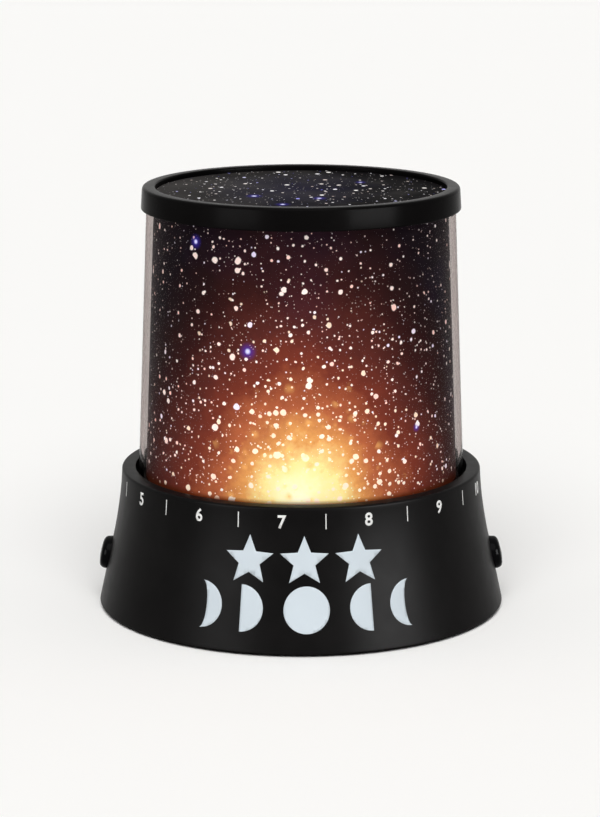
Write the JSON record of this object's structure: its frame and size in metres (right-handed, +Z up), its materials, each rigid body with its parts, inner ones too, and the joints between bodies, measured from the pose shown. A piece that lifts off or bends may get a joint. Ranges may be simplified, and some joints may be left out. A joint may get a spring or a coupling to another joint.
{
  "type": "star projector lamp",
  "caption": "Table-top star projector: flared round base with push buttons and a battery bay, a pierced dome that turns, and a lift-off clear tapered shade with a printed star film.",
  "frame": {"origin": "centre of the feet's footprint, on the table", "axes": "+Z up along the lamp's axis, -Y towards the front, buttons at -X and +X"},
  "size_m": [0.117, 0.116, 0.1204],
  "materials": {
    "base_plastic": "satin black ABS",
    "cover_plastic": "fine matt black ABS",
    "foot_rubber": "soft black rubber",
    "screw_steel": "zinc plated steel",
    "cell_jacket": "plain jacket over steel",
    "contact_metal": "nickel plated spring steel",
    "board_laminate": "green solder mask on glass laminate",
    "chip_epoxy": "moulded epoxy",
    "resistor_ceramic": "coated ceramic",
    "capacitor_can": "sleeved aluminium can",
    "post_plastic": "white ABS",
    "led_epoxy": "warm white lens",
    "led_colour_epoxy": "milky colour lens",
    "switch_plastic": "nylon",
    "button_plastic": "polished black ABS",
    "lead_pvc": "red and black PVC jacket",
    "dome_plastic": "matt black ABS",
    "clear_plastic": "clear acrylic",
    "film_print": "printed polyester film"
  },
  "bodies": {
    "base": {"base_shell": "base_plastic", "bottom_cover": "cover_plastic", "rubber_feet": "foot_rubber", "base_screws": "screw_steel", "battery_cells": "cell_jacket", "contact_plates": "contact_metal", "contact_leaves": "contact_metal", "control_board": "board_laminate", "board_screws": "screw_steel", "control_chip": "chip_epoxy", "resistors": "resistor_ceramic", "capacitor": "capacitor_can", "led_post": "post_plastic", "led_pins": "contact_metal", "led_board": "board_laminate", "led_warm": "led_epoxy", "leds_colour": "led_colour_epoxy", "switch_left": "switch_plastic", "switch_right": "switch_plastic", "dc_jack": "switch_plastic", "jack_pin": "contact_metal", "switch_lead_left": "lead_pvc", "switch_lead_right": "lead_pvc", "jack_lead": "lead_pvc"},
    "battery_door": {"battery_door": "cover_plastic"},
    "star_dome": {"star_dome": "dome_plastic", "dome_retainer": "dome_plastic"},
    "button_left": {"button_left": "button_plastic", "plunger_left": "switch_plastic"},
    "button_right": {"button_right": "button_plastic", "plunger_right": "switch_plastic"},
    "shade": {"shade_tube": "clear_plastic", "star_film": "film_print", "top_ring": "base_plastic", "star_disc": "film_print"}
  },
  "joints": [
    {"name": "shade_lift", "type": "slide", "parent": "base", "child": "shade", "axis": [0, 0, 1], "range_m": [0, 0.06]},
    {"name": "dome_turn", "type": "hinge", "parent": "base", "child": "star_dome", "pos_m": [0, 0, 0.0393], "axis": [0, 0, 1], "continuous": true},
    {"name": "left_button_press", "type": "slide", "parent": "base", "child": "button_left", "axis": [1, 0, 0], "range_m": [0, 0.0015], "stiffness_N_per_m": 300, "springref_m": -0.001},
    {"name": "right_button_press", "type": "slide", "parent": "base", "child": "button_right", "axis": [-1, 0, 0], "range_m": [0, 0.0015], "stiffness_N_per_m": 300, "springref_m": -0.001},
    {"name": "battery_door_hinge", "type": "hinge", "parent": "base", "child": "battery_door", "pos_m": [0, -0.03025, 0.0012], "axis": [-1, 0, 0], "range_deg": [0, 80]}
  ]
}
